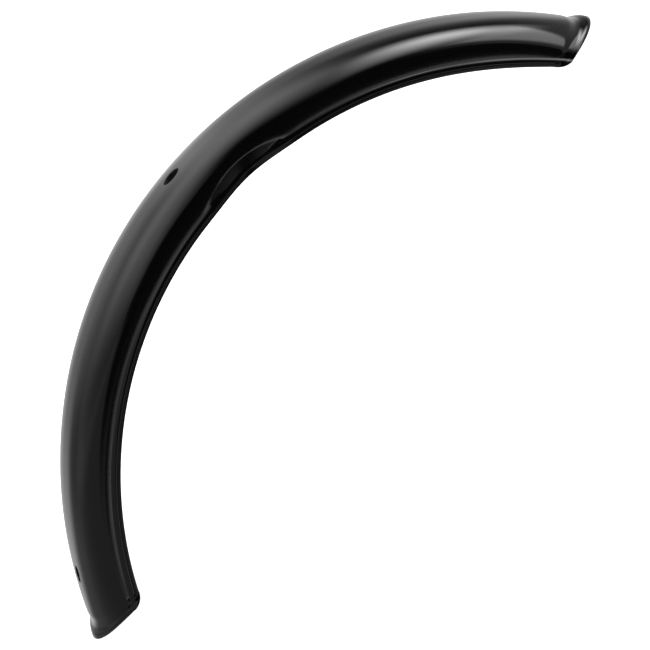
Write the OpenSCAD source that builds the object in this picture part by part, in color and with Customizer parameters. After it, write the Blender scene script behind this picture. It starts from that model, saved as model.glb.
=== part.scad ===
// Front mudguard for a small-wheeled scooter: one pressed sheet steel shell.
// Frame: millimetres, origin on the crown at the middle of the fork bolt hole.
// +X runs forward along the crown, +Y across to the left, +Z up along the bolt.

// Which node to draw

/* [Arch] */
// Radius of the crown line about the wheel axle
crown_radius = 170; // [120:1:260]
// Sweep of the crown from the fork bolt hole to the front tip, degrees
front_sweep = 61.4; // [30:0.1:80]
// Sweep of the crown from the fork bolt hole to the rear tip, degrees
rear_sweep = 64.5; // [30:0.1:80]

/* [Section] */
// Half of the width between the outer faces of the side walls
half_width = 26; // [18:0.5:40]
// Depth of the curved section from the crown down to the bead
wall_depth = 12.6; // [8:0.1:30]
// How square the shoulders are, 2 is an ellipse and 4 nearly a box
shoulder_power = 2.9; // [2:0.1:4]
// Thickness of the sheet
sheet_t = 1; // [0.8:0.1:2]

/* [Rolled edge] */
// Outer radius of the rolled bead along both side edges
bead_radius = 2.1; // [1.6:0.1:4]
// How far the bead stands out beyond the side wall
bead_out = 1.2; // [0.4:0.1:2]
// How far the roll is carried round, measured below the outward direction, degrees
bead_turn = 190; // [150:5:215]

/* [Fork pinch] */
// Middle of the pinch for the fork legs, degrees forward of the fork bolt hole
pinch_at = 7.3; // [0:0.1:20]
// Half of the length of the pinch along the crown, degrees
pinch_reach = 9.5; // [5:0.5:20]
// How far each side edge is drawn in at the middle of the pinch
pinch_in = 3; // [0:0.1:8]
// Depth below the crown at which the pinch begins
pinch_from = 3; // [0:0.5:10]

/* [Ends] */
// How far the front end is rounded back in plan, from its tip to the side walls
front_round = 3.5; // [0:0.1:20]
// How far the rear end is rounded back in plan, from its tip to the side walls
rear_round = 4.7; // [0:0.1:20]
// How far the front end slants back down the depth of the side walls
front_slant = 8.6; // [0:0.1:15]
// How far the rear end slants back down the depth of the side walls
rear_slant = 8.2; // [0:0.1:15]
// Length over which the shape of an end fades out along the shell
end_fade = 60; // [40:1:90]
// How much shallower the side walls are at the front end
front_lift = 1.1; // [0:0.1:4]
// How square the shoulders are at the very ends, where the section is rounder
end_power = 1.8; // [1.6:0.1:4]
// How far the crown rises above its arc at the front end
front_dome = 1.2; // [0:0.1:4]
// How far the crown rises above its arc at the rear end
rear_dome = 1.7; // [0:0.1:4]
// Length over which the rise of the crown fades out along the shell
dome_reach = 100; // [60:5:120]
// Radius of the rounded corner where an end meets the side edge
corner_radius = 5; // [1:0.1:6]
// Height of the flared lip round the front end
front_flare = 1.3; // [0:0.1:4]
// Height of the flared lip round the rear end
rear_flare = 1.5; // [0:0.1:4]
// Share of the height of a lip that is left at the side walls
flare_sides = 0.5; // [0:0.1:1]
// Width of the flat top of a lip along its end edge
flare_top = 0.8; // [0:0.1:3]
// Length over which a lip rises to its top
flare_reach = 3.2; // [2:0.1:6]
// Depth of the shallow valley behind the lip
valley_depth = 0.4; // [0:0.1:2]
// Length of the valley behind the lip
valley_reach = 7; // [5:0.5:12]

/* [Fixing holes] */
// Diameter of the fork bolt hole on the crown
fork_hole_d = 8.5; // [5:0.1:12]
// Diameter of the stay bolt hole near the rear end
stay_hole_d = 7; // [4:0.1:10]
// Position of the stay bolt hole, degrees behind the fork bolt hole
stay_hole_at = 55.8; // [20:0.1:60]

/* [Hidden] */
// Steps across half of the crown
crown_steps = 9;
// Steps of a bead from the wall to its widest point, on to its lowest point and on to its end
wide_steps = 2;
low_steps = 3;
end_steps = 4;
// Stations close to each end, as distances from the end edge
end_marks = [0, 0.7, 1.4, 2.2, 3, 3.9, 4.9, 6, 7.4, 9.2, 11.5, 14.5, 19];
// Longest step between the stations of the middle of the arch
middle_step = 6.4;
// How sharply the pinch rises to its middle
pinch_sharpness = 3;
// Share of the lip height that the bead follows, and share of the bead pressed flat
bead_follow = 0.1;
bead_pressed = 0.7;
// Bores: facets and how far the cutter reaches past the sheet
bore_facets = 48;
bore_past = 3;
paint = [0.012, 0.012, 0.013];

mm_to_deg = 180 / (PI * crown_radius);
arc_length = (front_sweep + rear_sweep) / mm_to_deg;
last_mark = end_marks[len(end_marks) - 1];
middle_length = arc_length - 2 * last_mark;
middle_count = ceil(middle_length / middle_step);
stations = concat(
    end_marks,
    [for (i = [1:middle_count - 1]) last_mark + middle_length * i / middle_count],
    [for (i = [len(end_marks) - 1:-1:0]) arc_length - end_marks[i]]
);

// Middle of the bead's round section, measured like the section itself
bead_y = half_width + bead_out - bead_radius;
outer_join = acos((bead_radius - bead_out) / bead_radius);
bead_h = -wall_depth - bead_radius * sin(outer_join);
roll_inside = bead_radius - sheet_t;
inner_join = acos(max(-1, min(1, (half_width - sheet_t - bead_y) / roll_inside)));
edge_h = bead_h - bead_radius;

function clamp01(x) = max(0, min(1, x));
function smooth(x) = clamp01(x) * clamp01(x) * (3 - 2 * clamp01(x));

// Section point: across, height, the outward direction, 1 on the roll, and its skin's inset
function crown_point(t, inset, power) =
    let(
        q = 2 / power,
        a = half_width - inset,
        d = wall_depth - inset,
        y = a * pow(sin(t), q),
        h = -inset - d * (1 - pow(cos(t), q)),
        ny = pow(sin(t), 2 - q) / a,
        nh = pow(cos(t), 2 - q) / d,
        n = norm([ny, nh])
    )
    [y, h, ny / n, nh / n, 0, inset];

// Section point of the roll at an angle above the outward direction
function roll_point(angle, r) =
    [bead_y + r * cos(angle), bead_h + r * sin(angle), 1, 0, 1, bead_radius - r];

// The same section point on the other side of the middle plane
function mirrored(p) = [-p[0], p[1], -p[2], p[3], p[4], p[5]];

function half_angle(k) = 90 * k / crown_steps;

// Angles of a roll above the outward direction, with its widest and its lowest point among them
function roll_angles(join) =
    concat(
        [for (k = [1:wide_steps]) join * (1 - k / wide_steps)],
        [for (k = [1:low_steps]) -90 * k / low_steps],
        [for (k = [1:end_steps]) -90 - (bead_turn - 90) * k / end_steps]
    );

outer_roll = [for (angle = roll_angles(outer_join)) roll_point(angle, bead_radius)];
inner_angles = roll_angles(inner_join);
inner_roll = [
    for (k = [len(inner_angles) - 1:-1:0]) roll_point(inner_angles[k], roll_inside)
];
// Left half of the section at a squareness of the shoulders, outwards and back
function half_loop(power) =
    concat(
        [for (k = [0:crown_steps]) crown_point(half_angle(k), 0, power)],
        outer_roll,
        inner_roll,
        [for (k = [crown_steps:-1:0]) crown_point(half_angle(k), sheet_t, power)]
    );
half_count = len(half_loop(shoulder_power));
// Whole loop: the left half, then the right half the other way round
function section_loop(power) =
    let(left = half_loop(power))
    concat(left, [for (k = [half_count - 2:-1:1]) mirrored(left[k])]);
loop_count = len(section_loop(shoulder_power));

// Height of a lip at a distance from its end edge, and depth of the valley behind it
function lip(u, height) = height * pow(cos(90 * clamp01((u - flare_top) / flare_reach)), 2);
function valley(u) =
    valley_depth * pow(sin(180 * clamp01((u - flare_top - flare_reach / 2) / valley_reach)), 2);
function end_rise(u, height) = lip(u, height) - valley(u);

// Bump from 0 to 1 and back along the arch, highest at the middle of the pinch
function pinch_bump(phi) =
    let(v = (phi - pinch_at) / pinch_reach)
    abs(v) < 1 ? pow(1 - v * v, pinch_sharpness) : 0;

// Share of the way down the side, from 0 on the crown to 1 at the lowest edge
function down(h) = clamp01(h / edge_h);
// How far back a section point lies from the tip of its end
function corner_back(h) =
    let(v = clamp01((h - edge_h) / corner_radius))
    corner_radius * (1 - sqrt(1 - (1 - v) * (1 - v)));
function set_back(y, h, plan, slant) =
    plan * pow(clamp01(abs(y) / half_width), 2) + slant * down(h) + corner_back(h);
function fade(u, reach) = pow(clamp01(1 - u / reach), 2);
function both_fades(s) = fade(s, end_fade) + fade(arc_length - s, end_fade);
function power_at(s) = shoulder_power + (end_power - shoulder_power) * both_fades(s);
// Height of the crown line above its arc
function crown_rise(s) =
    front_dome * fade(s, dome_reach) + rear_dome * fade(arc_length - s, dome_reach);
// Share of the lip's height by the distance from the middle plane
function lip_share(y) = 1 - (1 - flare_sides) * pow(clamp01(abs(y) / half_width), 2);

function shell_point(s, p) =
    let(
        phi0 = front_sweep - s * mm_to_deg,
        level = p[1] + p[3] * p[5],
        front = fade(s, end_fade),
        rear = fade(arc_length - s, end_fade),
        back = set_back(p[0], level, front_round, front_slant) * front
            - set_back(p[0], level, rear_round, rear_slant) * rear,
        side_lift = front_lift * front * pow(down(level), 2),
        lift = side_lift + crown_rise(s) * (1 - down(level)),
        phi = phi0 - back * mm_to_deg,
        both_ends = end_rise(s, front_flare) + end_rise(arc_length - s, rear_flare),
        rise = both_ends * lip_share(p[0]) * (1 - bead_follow * p[4]),
        bump = pinch_bump(phi0),
        depth_share = smooth((-level - pinch_from) / (-edge_h - pinch_from)),
        draw = bump * (pinch_in * depth_share + bead_out * bead_pressed * p[4]),
        y = p[0] - sign(p[0]) * draw + p[2] * rise,
        r = crown_radius + p[1] + p[3] * rise + lift
    )
    [r * sin(phi), y, r * cos(phi) - crown_radius];

module shell() {
    rows = len(stations);
    points = [for (s = stations) for (p = section_loop(power_at(s))) shell_point(s, p)];
    sides = [
        for (i = [0:rows - 2])
            for (k = [0:loop_count - 1])
                let(
                    n = (k + 1) % loop_count,
                    a = i * loop_count + k,
                    b = i * loop_count + n,
                    c = (i + 1) * loop_count + n,
                    d = (i + 1) * loop_count + k
                )
                each [[a, d, b], [b, d, c]]
    ];
    // Each end is closed by a strip between matching outer and inner points
    strip = [
        for (side = [0, 1])
            for (k = [0:half_count / 2 - 2])
                let(
                    out0 = side == 0 ? k : (loop_count - k) % loop_count,
                    out1 = side == 0 ? k + 1 : loop_count - k - 1,
                    in0 = side == 0 ? half_count - 1 - k : half_count - 1 + k,
                    in1 = side == 0 ? half_count - 2 - k : half_count + k
                )
                side == 0 ? [out0, out1, in1, in0] : [out1, out0, in0, in1]
    ];
    last_row = (rows - 1) * loop_count;
    first_cap = [for (q = strip) each [[q[0], q[1], q[2]], [q[0], q[2], q[3]]]];
    last_cap = [
        for (q = strip)
            each [
                [last_row + q[2], last_row + q[1], last_row + q[0]],
                [last_row + q[3], last_row + q[2], last_row + q[0]]
            ]
    ];
    polyhedron(points = points, faces = concat(sides, first_cap, last_cap), convexity = 8);
}

// Bore through the crown, its axis pointing away from the wheel axle
module crown_bore(phi, d) {
    r = crown_radius + crown_rise((front_sweep - phi) / mm_to_deg);
    translate([r * sin(phi), 0, r * cos(phi) - crown_radius])
        rotate([0, phi, 0])
            translate([0, 0, -sheet_t - bore_past])
                cylinder(h = sheet_t + 2 * bore_past, d = d, $fn = bore_facets);
}

module mudguard() {
    color(paint)
        difference() {
            shell();
            crown_bore(0, fork_hole_d);
            crown_bore(-stay_hole_at, stay_hole_d);
        }
}

mudguard();
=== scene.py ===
"""Front mudguard of a small-wheeled scooter, dressed for its studio picture.

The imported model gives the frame. One flat blank with two punched holes is
pressed by a Geometry Nodes tree into the arched shell with its crowned
section, rolled edges, fork pinch and flared ends, and then gets eased edges
and a gloss black paint.
"""

import logging
import math
from dataclasses import dataclass, field, fields
from enum import Enum

import bmesh
import bpy
from mathutils import Matrix, Vector

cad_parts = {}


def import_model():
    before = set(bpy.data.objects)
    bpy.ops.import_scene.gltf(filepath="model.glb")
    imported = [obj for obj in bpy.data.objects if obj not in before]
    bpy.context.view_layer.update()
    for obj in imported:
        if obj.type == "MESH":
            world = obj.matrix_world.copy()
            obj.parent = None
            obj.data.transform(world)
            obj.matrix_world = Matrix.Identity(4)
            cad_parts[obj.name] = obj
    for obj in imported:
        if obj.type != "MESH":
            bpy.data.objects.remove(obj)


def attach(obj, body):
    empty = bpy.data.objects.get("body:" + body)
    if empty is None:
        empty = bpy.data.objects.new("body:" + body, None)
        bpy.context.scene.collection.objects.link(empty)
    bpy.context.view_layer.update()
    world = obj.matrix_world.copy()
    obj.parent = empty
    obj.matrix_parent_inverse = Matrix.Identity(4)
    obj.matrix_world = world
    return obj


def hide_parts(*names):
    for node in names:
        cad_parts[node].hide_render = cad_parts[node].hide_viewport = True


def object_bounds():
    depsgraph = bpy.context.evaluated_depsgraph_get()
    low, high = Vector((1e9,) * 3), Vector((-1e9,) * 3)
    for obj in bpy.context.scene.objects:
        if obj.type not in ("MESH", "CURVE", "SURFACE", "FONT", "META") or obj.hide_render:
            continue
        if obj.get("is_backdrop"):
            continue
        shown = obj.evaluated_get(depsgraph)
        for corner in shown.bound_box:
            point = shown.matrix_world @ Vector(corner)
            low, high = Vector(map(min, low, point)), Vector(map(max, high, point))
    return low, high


LOG = logging.getLogger("mudguard")
MM = 0.001
# Steps for measuring along the section, and a length below which points are the same
LANE_STEPS = 400
SAME = 0.001 * MM

Cell = tuple[int, int]
Point = tuple[float, float]


class Finish(Enum):
    """Names of the finishes in the scene."""

    PAINT = "gloss_black_paint"
    FLOOR = "pale_floor"


@dataclass
class Term:
    """A value inside a node tree that can be reckoned with like a number."""

    tree: bpy.types.NodeTree
    socket: bpy.types.NodeSocket

    def reckon(self, operation: str, *others: "Term | float") -> "Term":
        """Add one Math node to the tree.

        Args:
            operation: The Math node's operation.
            others: The further operands, terms or plain numbers.

        Returns:
            The node's result.
        """
        node = self.tree.nodes.new("ShaderNodeMath")
        node.operation = operation
        for index, value in enumerate((self, *others)):
            if isinstance(value, Term):
                self.tree.links.new(value.socket, node.inputs[index])
            else:
                node.inputs[index].default_value = float(value)
        return Term(self.tree, node.outputs[0])

    def number(self, value: float) -> "Term":
        """Return a plain number as a term of the same tree."""
        node = self.tree.nodes.new("ShaderNodeMath")
        node.operation = "ADD"
        node.inputs[0].default_value = float(value)
        node.inputs[1].default_value = 0.0
        return Term(self.tree, node.outputs[0])

    def __add__(self, other: "Term | float") -> "Term":
        """Return the sum."""
        return self.reckon("ADD", other)

    def __radd__(self, other: float) -> "Term":
        """Return the sum with a number on the left."""
        return self.reckon("ADD", other)

    def __sub__(self, other: "Term | float") -> "Term":
        """Return the difference."""
        return self.reckon("SUBTRACT", other)

    def __rsub__(self, other: float) -> "Term":
        """Return a number less this term."""
        return self.number(other) - self

    def __mul__(self, other: "Term | float") -> "Term":
        """Return the product."""
        return self.reckon("MULTIPLY", other)

    def __rmul__(self, other: float) -> "Term":
        """Return the product with a number on the left."""
        return self.reckon("MULTIPLY", other)

    def __truediv__(self, other: "Term | float") -> "Term":
        """Return the quotient."""
        return self.reckon("DIVIDE", other)

    def __pow__(self, other: "Term | float") -> "Term":
        """Return this term raised to a power."""
        return self.reckon("POWER", other)

    def __neg__(self) -> "Term":
        """Return the term with its sign turned."""
        return self * -1.0

    def size(self) -> "Term":
        """Return the term without its sign."""
        return self.reckon("ABSOLUTE")

    def sign(self) -> "Term":
        """Return -1, 0 or 1."""
        return self.reckon("SIGN")

    def sin(self) -> "Term":
        """Return the sine of an angle in radians."""
        return self.reckon("SINE")

    def cos(self) -> "Term":
        """Return the cosine of an angle in radians."""
        return self.reckon("COSINE")

    def root(self) -> "Term":
        """Return the square root."""
        return self.reckon("SQRT")

    def above(self, limit: "Term | float") -> "Term":
        """Return 1 where the term is greater than the limit and 0 elsewhere."""
        return self.reckon("GREATER_THAN", limit)

    def least(self, limit: "Term | float") -> "Term":
        """Return the term, never more than the limit."""
        return self.reckon("MINIMUM", limit)

    def most(self, limit: "Term | float") -> "Term":
        """Return the term, never less than the limit."""
        return self.reckon("MAXIMUM", limit)

    def unit(self) -> "Term":
        """Return the term held between 0 and 1."""
        return self.most(0.0).least(1.0)

    def smooth(self) -> "Term":
        """Return a smooth step of the term from 0 to 1."""
        v = self.unit()
        return v * v * (3.0 - v * 2.0)

    def blend(self, other: "Term | float", share: "Term") -> "Term":
        """Return a mix of two terms.

        Args:
            other: The value where the share is 1.
            share: How much of the other value is taken.

        Returns:
            The mixed value.
        """
        return self * (1.0 - share) + share * other


@dataclass(frozen=True)
class Sheet:
    """Sizes of the pressed shell, in metres and radians, as in the CAD source."""

    crown_radius: float = 170.0 * MM
    front_sweep: float = math.radians(61.4)
    rear_sweep: float = math.radians(64.5)
    half_width: float = 26.0 * MM
    wall_depth: float = 12.6 * MM
    shoulder_power: float = 2.9
    thickness: float = 1.0 * MM
    bead_radius: float = 2.1 * MM
    bead_out: float = 1.2 * MM
    bead_turn: float = math.radians(190.0)
    pinch_at: float = math.radians(7.3)
    pinch_reach: float = math.radians(9.5)
    pinch_in: float = 3.0 * MM
    pinch_from: float = 3.0 * MM
    pinch_sharpness: float = 3.0
    bead_pressed: float = 0.7
    front_round: float = 3.5 * MM
    rear_round: float = 4.7 * MM
    front_slant: float = 8.6 * MM
    rear_slant: float = 8.2 * MM
    end_fade: float = 60.0 * MM
    front_lift: float = 1.1 * MM
    end_power: float = 1.8
    front_dome: float = 1.2 * MM
    rear_dome: float = 1.7 * MM
    dome_reach: float = 100.0 * MM
    corner_radius: float = 5.0 * MM
    front_flare: float = 1.3 * MM
    rear_flare: float = 1.5 * MM
    flare_sides: float = 0.5
    flare_top: float = 0.8 * MM
    flare_reach: float = 3.2 * MM
    valley_depth: float = 0.4 * MM
    valley_reach: float = 7.0 * MM
    bead_follow: float = 0.1

    @property
    def arc(self) -> float:
        """Length of the crown line from tip to tip."""
        return (self.front_sweep + self.rear_sweep) * self.crown_radius

    @property
    def join(self) -> float:
        """Angle above the outward direction where the wall meets the bead."""
        return math.acos((self.bead_radius - self.bead_out) / self.bead_radius)

    @property
    def inner_join(self) -> float:
        """The same angle on the inner skin."""
        inside = self.half_width - self.thickness - self.bead_y
        return math.acos(inside / (self.bead_radius - self.thickness))

    @property
    def bead_y(self) -> float:
        """Distance of the bead's middle from the middle plane."""
        return self.half_width + self.bead_out - self.bead_radius

    @property
    def bead_h(self) -> float:
        """Height of the bead's middle relative to the crown."""
        return -self.wall_depth - self.bead_radius * math.sin(self.join)

    @property
    def edge_h(self) -> float:
        """Height of the lowest edge relative to the crown."""
        return self.bead_h - self.bead_radius

    def crown_at(self, lane: float, inset: float) -> Point:
        """Give a point of the curved part of the section.

        Args:
            lane: 0 on the crown and 1 at the foot of the wall.
            inset: How far the skin lies inside the outer one.

        Returns:
            Distance from the middle plane and height relative to the crown.
        """
        turn = lane * math.pi / 2
        n = self.shoulder_power
        part = (math.sin(turn) / (self.half_width - inset)) ** n
        rest = (max(0.0, math.cos(turn)) / (self.wall_depth - inset)) ** n
        ray = (part + rest) ** (-1.0 / n)
        return ray * math.sin(turn), ray * math.cos(turn) - self.wall_depth

    def lane_at(self, y: float, inset: float) -> float:
        """Find the lane of a point on the crown.

        Args:
            y: Its distance from the middle plane.
            inset: How far its skin lies inside the outer one.

        Returns:
            The lane, with the sign of the side.
        """
        n = self.shoulder_power
        share = abs(y) / (self.half_width - inset)
        height = (self.wall_depth - inset) * (1.0 - share**n) ** (1.0 / n)
        return math.copysign(math.atan2(abs(y), height) / (math.pi / 2), y)

    def even_lanes(self, start: float, count: int, inset: float) -> list[float]:
        """Space lanes evenly along the section from a start to the foot of the wall.

        Args:
            start: The first lane, which isn't repeated in the result.
            count: The number of steps.
            inset: How far the skin lies inside the outer one.

        Returns:
            The lanes after the start, ending at 1.
        """
        fine = [start + (1.0 - start) * i / LANE_STEPS for i in range(LANE_STEPS + 1)]
        points = [self.crown_at(lane, inset) for lane in fine]
        runs = [0.0]
        for a, b in zip(points, points[1:]):
            runs.append(runs[-1] + math.dist(a, b))
        lanes: list[float] = []
        k = 0
        for step in range(1, count):
            goal = runs[-1] * step / count
            while runs[k + 1] < goal:
                k += 1
            share = (goal - runs[k]) / (runs[k + 1] - runs[k])
            lanes.append(fine[k] + (fine[k + 1] - fine[k]) * share)
        return [*lanes, 1.0]


@dataclass(frozen=True)
class Punch:
    """A round hole punched through the crown of the blank."""

    name: str
    along: float
    radius: float


@dataclass
class Blank:
    """The flat sheet before it is pressed: along the arch in X, lanes in Y, its two skins in Z."""

    sheet: Sheet
    punches: tuple[Punch, ...]
    cells: int = 12
    block: float = 7.2 * MM
    lip: float = 9.0 * MM
    lip_step: float = 0.5 * MM
    shoulder: float = 24.0 * MM
    end_step: float = 1.0 * MM
    middle_step: float = 1.6 * MM
    wall_steps: int = 26
    roll_steps: int = 16
    rings: tuple[float, ...] = (0.0, 0.06, 0.16, 0.32, 0.55, 0.78)

    def lanes(self, inset: float) -> list[float]:
        """Return the lanes across one skin, from the left roll to the right."""
        marks = [self.block * (2 * i / self.cells - 1) for i in range(self.cells + 1)]
        middle = [self.sheet.lane_at(y, inset) for y in marks]
        walls = self.sheet.even_lanes(middle[-1], self.wall_steps, inset)
        rolls = [1.0 + i / self.roll_steps for i in range(1, self.roll_steps + 1)]
        outer = walls + rolls
        return [-v for v in reversed(outer)] + middle + outer

    def stations(self) -> tuple[list[float], list[int]]:
        """Lay out the stations along the blank.

        Returns:
            The stations in metres from the front tip, and the first row of each hole's block.
        """
        arc = self.sheet.arc
        rows = [0.0]
        starts: list[int] = []
        self.run_to(rows, self.lip, self.lip_step)
        self.run_to(rows, self.shoulder, self.end_step)
        for punch in self.punches:
            self.run_to(rows, punch.along - self.block, self.middle_step)
            starts.append(len(rows) - 1)
            self.run_to(rows, punch.along + self.block, 2 * self.block / self.cells)
        self.run_to(rows, arc - self.lip, self.end_step)
        self.run_to(rows, arc, self.lip_step)
        return rows, starts

    @staticmethod
    def run_to(rows: list[float], end: float, step: float) -> None:
        """Add even stations up to an end.

        Args:
            rows: The stations so far, which are added to.
            end: Where the last new station lies.
            step: About how far apart the new stations lie.
        """
        start = rows[-1]
        count = max(1, round((end - start) / step))
        rows.extend(start + (end - start) * (i + 1) / count for i in range(count))

    def build(self) -> bpy.types.Mesh:
        """Build the blank as a closed flat slab with its holes.

        Returns:
            The mesh, whose rim edges carry the weight that eases them later.
        """
        shape = bmesh.new()
        outer = self.skin(shape, 0)
        inner = self.skin(shape, 1)
        below = dict(zip(outer, inner))
        weight = shape.edges.layers.float.new("bevel_weight_edge")
        rims = [edge for edge in shape.edges if edge.is_boundary]
        for edge in rims:
            edge[weight] = 1.0
            a, b = edge.verts
            if a in below:
                shape.faces.new((a, b, below[b], below[a]))
        mesh = bpy.data.meshes.new("blank")
        shape.to_mesh(mesh)
        shape.free()
        return mesh

    def skin(self, shape: bmesh.types.BMesh, side: int) -> list[bmesh.types.BMVert]:
        """Build one skin of the slab.

        Args:
            shape: The mesh that is built.
            side: 0 for the outer skin and 1 for the inner one.

        Returns:
            The skin's points, in the same order for both skins.
        """
        inset = self.sheet.thickness * side
        lanes = self.lanes(inset)
        rows, starts = self.stations()
        low = len(lanes) // 2 - self.cells // 2
        solid: set[Cell] = set()
        hidden: set[Cell] = set()
        for start in starts:
            for i in range(self.cells):
                solid.update((start + i, low + j) for j in range(self.cells))
                hidden.update((start + i, low + j) for j in range(1, self.cells) if i > 0)
        grid: dict[Cell, bmesh.types.BMVert] = {}
        for i, along in enumerate(rows):
            for j, lane in enumerate(lanes):
                if (i, j) not in hidden:
                    grid[i, j] = shape.verts.new((along, lane, side))
        points = list(grid.values())
        for i in range(len(rows) - 1):
            for j in range(len(lanes) - 1):
                if (i, j) not in solid:
                    shape.faces.new((grid[i, j], grid[i, j + 1], grid[i + 1, j + 1], grid[i + 1, j]))
        for start, punch in zip(starts, self.punches):
            points += self.ring_hole(shape, self.walk_block(grid, start, low), punch, side)
        return points

    def walk_block(
        self, grid: dict[Cell, bmesh.types.BMVert], start: int, low: int
    ) -> list[bmesh.types.BMVert]:
        """Walk once round the square that is left open for a hole.

        Args:
            grid: The skin's points by row and lane.
            start: The first row of the square.
            low: The first lane of the square.

        Returns:
            The points on its border.
        """
        n = self.cells
        walk: list[Cell] = [(start + i, low) for i in range(n)]
        walk += [(start + n, low + i) for i in range(n)]
        walk += [(start + n - i, low + n) for i in range(n)]
        walk += [(start, low + n - i) for i in range(n)]
        return [grid[cell] for cell in walk]

    def ring_hole(
        self,
        shape: bmesh.types.BMesh,
        border: list[bmesh.types.BMVert],
        punch: Punch,
        side: int,
    ) -> list[bmesh.types.BMVert]:
        """Fill the square round a hole with rings that turn from its circle to the border.

        Args:
            shape: The mesh that is built.
            border: The points on the border of the square.
            punch: The hole.
            side: 0 for the outer skin and 1 for the inner one.

        Returns:
            The new points.
        """
        inset = self.sheet.thickness * side
        loops: list[list[bmesh.types.BMVert]] = []
        for share in self.rings:
            loop = []
            for corner in border:
                dx = corner.co.x - punch.along
                across = self.sheet.crown_at(abs(corner.co.y), inset)[0]
                dy = math.copysign(across, corner.co.y)
                turn = math.atan2(dy, dx)
                x = punch.radius * math.cos(turn) * (1 - share) + dx * share
                y = punch.radius * math.sin(turn) * (1 - share) + dy * share
                lane = self.sheet.lane_at(y, inset)
                loop.append(shape.verts.new((punch.along + x, lane, side)))
            loops.append(loop)
        for inner, outer in zip(loops, [*loops[1:], border]):
            for k in range(len(border)):
                m = (k + 1) % len(border)
                shape.faces.new((inner[m], outer[m], outer[k], inner[k]))
        return [point for loop in loops for point in loop]


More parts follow.
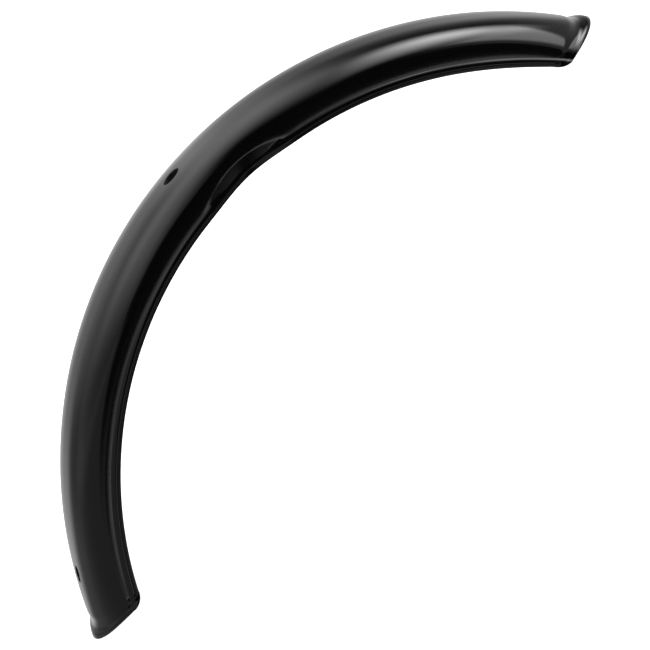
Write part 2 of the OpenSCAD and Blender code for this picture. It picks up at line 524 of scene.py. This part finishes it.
@dataclass
class Press:
    """The Geometry Nodes tree that presses the flat blank into the shell."""

    sheet: Sheet
    material: bpy.types.Material
    eased: float = 0.16 * MM
    tree: bpy.types.NodeTree = field(init=False)
    values: dict[str, Term] = field(init=False, default_factory=dict)

    TINY = 1e-6
    DERIVED = ("arc", "join", "inner_join", "bead_y", "bead_h", "edge_h")

    def sizes(self) -> list[str]:
        """Return the names of the sheet's sizes that the tree takes as inputs."""
        own = [size.name for size in fields(self.sheet) if size.name != "rear_sweep"]
        return [*own, *self.DERIVED]

    def build(self) -> bpy.types.NodeTree:
        """Build the tree.

        Returns:
            The tree, whose inputs carry the names of the sheet's sizes.
        """
        tree = bpy.data.node_groups.new("press_the_mudguard", "GeometryNodeTree")
        self.tree = tree
        face = tree.interface
        face.new_socket("Geometry", in_out="INPUT", socket_type="NodeSocketGeometry")
        face.new_socket("Paint", in_out="INPUT", socket_type="NodeSocketMaterial")
        for name in self.sizes():
            face.new_socket(name, in_out="INPUT", socket_type="NodeSocketFloat")
        face.new_socket("Geometry", in_out="OUTPUT", socket_type="NodeSocketGeometry")
        entry = tree.nodes.new("NodeGroupInput")
        leave = tree.nodes.new("NodeGroupOutput")
        self.values = {name: Term(tree, entry.outputs[name]) for name in self.sizes()}
        place = self.place()
        moved = tree.nodes.new("GeometryNodeSetPosition")
        tree.links.new(entry.outputs["Geometry"], moved.inputs["Geometry"])
        tree.links.new(place, moved.inputs["Position"])
        real = tree.nodes.new("GeometryNodeRealizeInstances")
        tree.links.new(moved.outputs["Geometry"], real.inputs["Geometry"])
        paint = tree.nodes.new("GeometryNodeSetMaterial")
        tree.links.new(real.outputs["Geometry"], paint.inputs["Geometry"])
        tree.links.new(entry.outputs["Paint"], paint.inputs["Material"])
        tree.links.new(paint.outputs["Geometry"], leave.inputs["Geometry"])
        return tree

    def place(self) -> bpy.types.NodeSocket:
        """Reckon where each point of the blank goes.

        Returns:
            The socket of the new position.
        """
        v = self.values
        spot = self.tree.nodes.new("GeometryNodeInputPosition")
        parts = self.tree.nodes.new("ShaderNodeSeparateXYZ")
        self.tree.links.new(spot.outputs["Position"], parts.inputs[0])
        along = Term(self.tree, parts.outputs["X"])
        lane = Term(self.tree, parts.outputs["Y"])
        inset = Term(self.tree, parts.outputs["Z"]) * v["thickness"]
        front = self.fade(along, v["end_fade"])
        rear = self.fade(v["arc"] - along, v["end_fade"])
        power = v["shoulder_power"].blend(v["end_power"], front + rear)
        y, h, ny, nh, rolled = self.section(lane, inset, power)
        level = h + nh * inset
        down = (level / v["edge_h"]).unit()
        plan = (y / v["half_width"]).unit() ** 2.0
        rest = 1.0 - ((level - v["edge_h"]) / v["corner_radius"]).unit()
        corner = v["corner_radius"] * (1.0 - (1.0 - rest * rest).root())
        back = (v["front_round"] * plan + v["front_slant"] * down + corner) * front
        back = back - (v["rear_round"] * plan + v["rear_slant"] * down + corner) * rear
        dome = v["front_dome"] * self.fade(along, v["dome_reach"])
        dome = dome + v["rear_dome"] * self.fade(v["arc"] - along, v["dome_reach"])
        lift = v["front_lift"] * front * down * down + dome * (1.0 - down)
        rise = self.end_rise(along, v["front_flare"])
        rise = rise + self.end_rise(v["arc"] - along, v["rear_flare"])
        rise = rise * (1.0 - (1.0 - v["flare_sides"]) * plan)
        rise = rise * (1.0 - v["bead_follow"] * rolled)
        turn = v["front_sweep"] - along / v["crown_radius"]
        draw = self.pinch(turn, level, rolled)
        across = lane.sign() * (y - draw + ny * rise)
        reach = v["crown_radius"] + h + nh * rise + lift
        angle = turn - back / v["crown_radius"]
        joined = self.tree.nodes.new("ShaderNodeCombineXYZ")
        self.tree.links.new((reach * angle.sin()).socket, joined.inputs["X"])
        self.tree.links.new(across.socket, joined.inputs["Y"])
        height = reach * angle.cos() - v["crown_radius"]
        self.tree.links.new(height.socket, joined.inputs["Z"])
        return joined.outputs[0]

    def section(self, lane: Term, inset: Term, n: Term) -> tuple[Term, Term, Term, Term, Term]:
        """Reckon the section: the crowned part up to lane 1 and the roll beyond it.

        Args:
            lane: The lane of each point, signed by its side.
            inset: How far the point's skin lies inside the outer one.
            n: How square the shoulders are.

        Returns:
            Distance across, height, the outward direction's two parts, and 1 on the roll.
        """
        v = self.values
        far = lane.size()
        turn = far.least(1.0) * (math.pi / 2)
        sine = turn.sin().most(self.TINY)
        cosine = turn.cos().most(self.TINY)
        half = v["half_width"] - inset
        depth = v["wall_depth"] - inset
        total = (sine / half) ** n + (cosine / depth) ** n
        ray = total ** -(n**-1.0)
        crown_y = ray * sine
        crown_h = ray * cosine - v["wall_depth"]
        slope_y = (crown_y / half) ** (n - 1.0) / half
        slope_h = (ray * cosine / depth) ** (n - 1.0) / depth
        slope = (slope_y * slope_y + slope_h * slope_h).root()
        join = v["join"].blend(v["inner_join"], inset / v["thickness"])
        angle = join - (join + v["bead_turn"]) * (far - 1.0).most(0.0)
        radius = v["bead_radius"] - inset
        roll_y = v["bead_y"] + radius * angle.cos()
        roll_h = v["bead_h"] + radius * angle.sin()
        rolled = far.above(1.0 + self.TINY)
        y = crown_y.blend(roll_y, rolled)
        h = crown_h.blend(roll_h, rolled)
        ny = (slope_y / slope).blend(1.0, rolled)
        nh = (slope_h / slope) * (1.0 - rolled)
        return y, h, ny, nh, rolled

    def fade(self, from_end: Term, reach: Term) -> Term:
        """Reckon how strongly the shape of an end acts.

        Args:
            from_end: The distance from the end edge.
            reach: Where the shape has faded out.

        Returns:
            1 at the edge, falling to 0.
        """
        return (1.0 - from_end / reach).unit() ** 2.0

    def end_rise(self, from_end: Term, height: Term) -> Term:
        """Reckon the flared lip less the valley behind it.

        Args:
            from_end: The distance from the end edge.
            height: The height of the lip.

        Returns:
            The height above the plain shell, along its outward direction.
        """
        v = self.values
        share = ((from_end - v["flare_top"]) / v["flare_reach"]).unit()
        lip = height * (share * (math.pi / 2)).cos() ** 2.0
        start = v["flare_top"] + v["flare_reach"] * 0.5
        within = ((from_end - start) / v["valley_reach"]).unit()
        valley = v["valley_depth"] * (within * math.pi).sin() ** 2.0
        return lip - valley

    def pinch(self, turn: Term, h: Term, rolled: Term) -> Term:
        """Reckon how far the side walls are drawn in for the fork legs.

        Args:
            turn: Position along the arch as an angle.
            h: Height relative to the crown, on the outer skin.
            rolled: 1 on the roll.

        Returns:
            The distance by which a point is drawn towards the middle plane.
        """
        v = self.values
        share = (turn - v["pinch_at"]) / v["pinch_reach"]
        bump = (1.0 - share * share).most(0.0) ** v["pinch_sharpness"]
        depth = ((-h - v["pinch_from"]) / (-v["edge_h"] - v["pinch_from"])).smooth()
        return bump * (v["pinch_in"] * depth + v["bead_out"] * v["bead_pressed"] * rolled)

    def apply(self, flat: bpy.types.Mesh, name: str) -> bpy.types.Object:
        """Press a blank and ease its edges.

        Args:
            flat: The flat blank.
            name: The name of the piece.

        Returns:
            The finished piece, with no modifiers left on it.
        """
        work = bpy.data.objects.new(name + "_work", flat)
        bpy.context.scene.collection.objects.link(work)
        press = work.modifiers.new("press", "NODES")
        press.node_group = self.build()
        for item in self.tree.interface.items_tree:
            if item.in_out != "INPUT" or item.socket_type == "NodeSocketGeometry":
                continue
            if item.name == "Paint":
                press[item.identifier] = self.material
            else:
                press[item.identifier] = float(getattr(self.sheet, item.name))
        ease = work.modifiers.new("eased_edges", "BEVEL")
        ease.width = self.eased
        ease.segments = 2
        ease.limit_method = "WEIGHT"
        ready = work.evaluated_get(bpy.context.evaluated_depsgraph_get())
        mesh = bpy.data.meshes.new_from_object(ready)
        piece = bpy.data.objects.new(name, mesh)
        mesh.name = name
        bpy.context.scene.collection.objects.link(piece)
        work.modifiers.clear()
        bpy.data.objects.remove(work)
        return piece


@dataclass
class Mudguard:
    """The mudguard: one sheet of painted steel."""

    sheet: Sheet = field(default_factory=Sheet)
    fork_hole: float = 4.25 * MM
    stay_hole: float = 3.5 * MM
    stay_at: float = math.radians(55.8)
    sharp_from: float = math.radians(50.0)

    def punches(self) -> tuple[Punch, ...]:
        """Return the two holes in the crown, by their distance from the front tip."""
        radius = self.sheet.crown_radius
        fork = self.sheet.front_sweep * radius
        return (
            Punch("fork_bolt_hole", fork, self.fork_hole),
            Punch("stay_bolt_hole", fork + self.stay_at * radius, self.stay_hole),
        )

    def build(self, paint: bpy.types.Material) -> bpy.types.Object:
        """Build the shell and let it stand for the CAD node.

        Args:
            paint: The finish of the whole sheet.

        Returns:
            The finished piece.
        """
        blank = Blank(self.sheet, self.punches()).build()
        shell = Press(self.sheet, paint).apply(blank, "mudguard_shell")
        mesh = shell.data
        tidy = bmesh.new()
        tidy.from_mesh(mesh)
        bmesh.ops.remove_doubles(tidy, verts=tidy.verts, dist=SAME)
        bmesh.ops.recalc_face_normals(tidy, faces=tidy.faces)
        for edge in tidy.edges:
            sharp = len(edge.link_faces) == 2 and edge.calc_face_angle(0.0) > self.sharp_from
            edge.smooth = not sharp
        for part in tidy.faces:
            part.smooth = True
        tidy.to_mesh(mesh)
        tidy.free()
        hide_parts("mudguard")
        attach(shell, "root")
        LOG.info("mudguard shell: %d faces", len(mesh.polygons))
        return shell


@dataclass(frozen=True)
class GlossPaint:
    """Gloss black paint over smooth steel."""

    colour: tuple[float, float, float] = (0.0022, 0.0022, 0.0024)
    roughness: Point = (0.1, 0.12)
    ior: float = 1.5
    flow_range: Point = (0.35, 0.65)
    flow_size: float = 24.0 * MM
    peel_size: float = 1.6 * MM
    peel_depth: float = 0.004 * MM

    def build(self) -> bpy.types.Material:
        """Build the paint.

        Returns:
            The material.
        """
        paint = bpy.data.materials.new(Finish.PAINT.value)
        paint.use_nodes = True
        nodes, links = paint.node_tree.nodes, paint.node_tree.links
        shader = nodes["Principled BSDF"]
        shader.inputs["Base Color"].default_value = (*self.colour, 1.0)
        shader.inputs["IOR"].default_value = self.ior
        grain = nodes.new("ShaderNodeGroup")
        grain.node_tree = sprayed_grain()
        grain.inputs["Peel size"].default_value = self.peel_size
        grain.inputs["Flow size"].default_value = self.flow_size
        place = nodes.new("ShaderNodeTexCoord")
        links.new(place.outputs["Object"], grain.inputs["Place"])
        bump = nodes.new("ShaderNodeBump")
        bump.inputs["Strength"].default_value = 1.0
        bump.inputs["Distance"].default_value = self.peel_depth
        links.new(grain.outputs["Height"], bump.inputs["Height"])
        links.new(bump.outputs["Normal"], shader.inputs["Normal"])
        gloss = nodes.new("ShaderNodeMapRange")
        gloss.inputs["From Min"].default_value = self.flow_range[0]
        gloss.inputs["From Max"].default_value = self.flow_range[1]
        gloss.inputs["To Min"].default_value = self.roughness[0]
        gloss.inputs["To Max"].default_value = self.roughness[1]
        links.new(grain.outputs["Flow"], gloss.inputs["Value"])
        links.new(gloss.outputs["Result"], shader.inputs["Roughness"])
        return paint


def sprayed_grain() -> bpy.types.NodeTree:
    """Build the shared grain of a sprayed coat.

    Returns:
        A shader group with a fine varying height and the slow flow of the coat, from 0 to 1.
    """
    known = bpy.data.node_groups.get("sprayed_grain")
    if known:
        return known
    group = bpy.data.node_groups.new("sprayed_grain", "ShaderNodeTree")
    face = group.interface
    face.new_socket("Place", in_out="INPUT", socket_type="NodeSocketVector")
    entry = group.nodes.new("NodeGroupInput")
    leave = group.nodes.new("NodeGroupOutput")
    for size, result, detail in (("Peel size", "Height", 1.5), ("Flow size", "Flow", 0.5)):
        face.new_socket(size, in_out="INPUT", socket_type="NodeSocketFloat")
        face.new_socket(result, in_out="OUTPUT", socket_type="NodeSocketFloat")
        noise = group.nodes.new("ShaderNodeTexNoise")
        noise.inputs["Detail"].default_value = detail
        scale = Term(group, entry.outputs[size]) ** -1.0
        group.links.new(entry.outputs["Place"], noise.inputs["Vector"])
        group.links.new(scale.socket, noise.inputs["Scale"])
        group.links.new(noise.outputs["Fac"], leave.inputs[result])
    return group


@dataclass(frozen=True)
class Viewpoint:
    """The camera of the photograph, in the frame of the mudguard."""

    elevation: float = math.radians(16.6)
    roll: float = math.radians(50.08)
    axle_px: Point = (493.04, 446.13)
    px_per_mm: float = 2.565
    distance: float = 4.877
    frame_px: float = 650.0
    sensor_mm: float = 36.0

    def axes(self) -> tuple[Vector, Vector, Vector]:
        """Return the picture's right and up and the way back to the camera."""
        back = Vector((0.0, -math.cos(self.elevation), math.sin(self.elevation)))
        level = Vector((1.0, 0.0, 0.0))
        up = back.cross(level)
        right = level * math.cos(self.roll) - up * math.sin(self.roll)
        top = level * math.sin(self.roll) + up * math.cos(self.roll)
        return right, top, back

    def build(self, axle: Vector) -> bpy.types.Object:
        """Place the camera.

        Args:
            axle: The middle of the arch's circle.

        Returns:
            The camera.
        """
        right, top, back = self.axes()
        half = self.frame_px / 2
        step = MM / self.px_per_mm
        aside = right * (-(self.axle_px[0] - half) * step)
        above = top * ((self.axle_px[1] - half) * step)
        lens = bpy.data.cameras.new("camera")
        lens.sensor_width = self.sensor_mm
        lens.lens = self.sensor_mm * self.px_per_mm / MM * self.distance / self.frame_px
        lens.clip_start = 0.1
        lens.clip_end = 100.0
        camera = bpy.data.objects.new("camera", lens)
        turn = Matrix((right, top, back)).transposed().to_4x4()
        camera.matrix_world = Matrix.Translation(axle + aside + above + back * self.distance) @ turn
        bpy.context.scene.collection.objects.link(camera)
        bpy.context.scene.camera = camera
        LOG.info("camera: %.0f mm lens at %.2f m", lens.lens, self.distance)
        return camera


@dataclass(frozen=True)
class Window:
    """A soft patch of light on the sky, in degrees round and away from the viewpoint's axis.

    The lean is how far the lower and the higher tilt move for each degree of turn.
    """

    name: str
    turn: Point
    tilt: Point
    turn_soft: float
    tilt_soft: Point
    strength: float
    lean: Point = (0.0, 0.0)

    def inputs(self) -> dict[str, float]:
        """Return the values of the soft window's inputs by name."""
        return {
            "Turn low": self.turn[0],
            "Turn high": self.turn[1],
            "Turn soft": self.turn_soft,
            "Tilt low": self.tilt[0],
            "Tilt high": self.tilt[1],
            "Low soft": self.tilt_soft[0],
            "High soft": self.tilt_soft[1],
            "Low lean": self.lean[0],
            "High lean": self.lean[1],
            "Strength": self.strength,
        }


@dataclass(frozen=True)
class Studio:
    """Pale floor and soft light round the mudguard.

    The turn of a window is counted from a line 40 degrees below the picture's right.
    """

    viewpoint: Viewpoint
    windows: tuple[Window, ...] = (
        Window("overhead", (123.0, 142.0), (86.0, 121.0), 19.0, (70.0, 29.0), 7.9),
        Window("front_upper", (62.0, 122.0), (62.0, 73.0), 8.0, (16.0, 6.0), 2.6, (0.0, 1.7)),
        Window("front_lower", (40.0, 116.0), (46.0, 158.0), 30.0, (7.0, 14.0), 0.4),
        Window("upper_left", (146.0, 173.0), (82.0, 137.0), 27.0, (50.0, 40.0), 1.1, (1.2, 1.0)),
        Window("left", (173.0, 230.0), (38.0, 150.0), 11.0, (8.0, 40.0), 0.32, (-0.4, -1.0)),
        Window("left_glow", (171.0, 204.0), (64.0, 126.0), 30.0, (46.0, 29.0), 0.9, (-1.2, -0.3)),
        Window("haze", (227.0, 341.0), (22.0, 141.0), 20.0, (9.0, 29.0), 0.28),
        Window("right", (-1.0, 38.0), (40.0, 98.0), 9.0, (50.0, 19.0), 0.17),
        Window("floor_glow", (-29.0, 17.0), (31.5, 35.0), 2.0, (3.0, 8.0), 1.7),
        Window("behind", (-60.0, 420.0), (139.0, 145.0), 5.0, (14.0, 17.0), 0.13),
        Window("backdrop", (-60.0, 420.0), (153.0, 200.0), 5.0, (23.0, 8.0), 0.7),
    )
    turn_from: float = math.radians(40.0)
    dark: float = 0.002
    floor_size: float = 6.0
    floor_white: float = 0.9

    def window_group(self) -> bpy.types.NodeTree:
        """Build the shared soft window.

        Returns:
            A shader group with the window's strength at each direction.
        """
        group = bpy.data.node_groups.new("soft_window", "ShaderNodeTree")
        face = group.interface
        names = ("Turn", "Tilt", *self.windows[0].inputs())
        for name in names:
            face.new_socket(name, in_out="INPUT", socket_type="NodeSocketFloat")
        face.new_socket("Light", in_out="OUTPUT", socket_type="NodeSocketFloat")
        entry = group.nodes.new("NodeGroupInput")
        leave = group.nodes.new("NodeGroupOutput")
        v = {name: Term(group, entry.outputs[name]) for name in names}
        middle = (v["Turn low"] + v["Turn high"]) * 0.5
        half = v["Turn high"] - middle
        past = (v["Turn"] - middle).reckon("WRAP", 180.0, -180.0)
        left = ((half + past) / v["Turn soft"] + 0.5).smooth()
        right = ((half - past) / v["Turn soft"] + 0.5).smooth()
        low = v["Tilt low"] + v["Low lean"] * past
        high = v["Tilt high"] + v["High lean"] * past
        near = ((v["Tilt"] - low) / v["Low soft"] + 0.5).smooth()
        far = ((high - v["Tilt"]) / v["High soft"] + 0.5).smooth()
        light = left * right * near * far * v["Strength"]
        group.links.new(light.socket, leave.inputs["Light"])
        return group

    def build_light(self) -> None:
        """Build the sky of soft windows round the mudguard."""
        world = bpy.data.worlds.new("studio")
        bpy.context.scene.world = world
        world.use_nodes = True
        tree = world.node_tree
        nodes, links = tree.nodes, tree.links
        place = nodes.new("ShaderNodeTexCoord")
        parts: list[Term] = []
        for axis in self.viewpoint.axes():
            dot = nodes.new("ShaderNodeVectorMath")
            dot.operation = "DOT_PRODUCT"
            links.new(place.outputs["Generated"], dot.inputs[0])
            dot.inputs[1].default_value = axis
            parts.append(Term(tree, dot.outputs["Value"]))
        right, top, back = parts
        degrees = math.degrees(1.0)
        tilt = back.most(-1.0).least(1.0).reckon("ARCCOSINE") * degrees
        cosine, sine = math.cos(self.turn_from), math.sin(self.turn_from)
        over = top * cosine + right * sine
        side = right * cosine - top * sine
        turn = over.reckon("ARCTAN2", side) * degrees
        group = self.window_group()
        total = turn.number(self.dark)
        for window in self.windows:
            node = nodes.new("ShaderNodeGroup")
            node.node_tree = group
            node.label = window.name
            links.new(turn.socket, node.inputs["Turn"])
            links.new(tilt.socket, node.inputs["Tilt"])
            for name, value in window.inputs().items():
                node.inputs[name].default_value = value
            total = total + Term(tree, node.outputs["Light"])
        path = nodes.new("ShaderNodeLightPath")
        seen = Term(tree, path.outputs["Is Camera Ray"])
        total = total.blend(1.0, seen)
        links.new(total.socket, nodes["Background"].inputs["Strength"])
        nodes["Background"].inputs["Color"].default_value = (1.0, 1.0, 1.0, 1.0)
        LOG.info("studio light: %d soft windows", len(self.windows))

    def build_floor(self, height: float) -> bpy.types.Object:
        """Build the floor.

        Args:
            height: The lowest level of the mudguard.

        Returns:
            The floor, marked as stage.
        """
        shape = bmesh.new()
        bmesh.ops.create_grid(shape, x_segments=1, y_segments=1, size=self.floor_size)
        mesh = bpy.data.meshes.new("floor")
        shape.to_mesh(mesh)
        shape.free()
        floor = bpy.data.objects.new("floor", mesh)
        floor.location.z = height
        bpy.context.scene.collection.objects.link(floor)
        pale = bpy.data.materials.new(Finish.FLOOR.value)
        pale.use_nodes = True
        shader = pale.node_tree.nodes["Principled BSDF"]
        shader.inputs["Base Color"].default_value = (*(self.floor_white,) * 3, 1.0)
        shader.inputs["Roughness"].default_value = 0.9
        shader.inputs["Emission Color"].default_value = (1.0, 1.0, 1.0, 1.0)
        shader.inputs["Emission Strength"].default_value = 1.0
        mesh.materials.append(pale)
        floor.visible_glossy = False
        floor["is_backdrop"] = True
        return floor


def main() -> None:
    """Build the mudguard, its studio and its camera."""
    logging.basicConfig(level=logging.INFO, format="%(name)s: %(message)s")
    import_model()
    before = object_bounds()
    bpy.context.scene.view_settings.view_transform = "Standard"
    mudguard = Mudguard()
    mudguard.build(GlossPaint().build())
    viewpoint = Viewpoint()
    viewpoint.build(Vector((0.0, 0.0, -mudguard.sheet.crown_radius)))
    studio = Studio(viewpoint)
    studio.build_light()
    studio.build_floor(before[0].z)


if __name__ == "__main__":
    main()
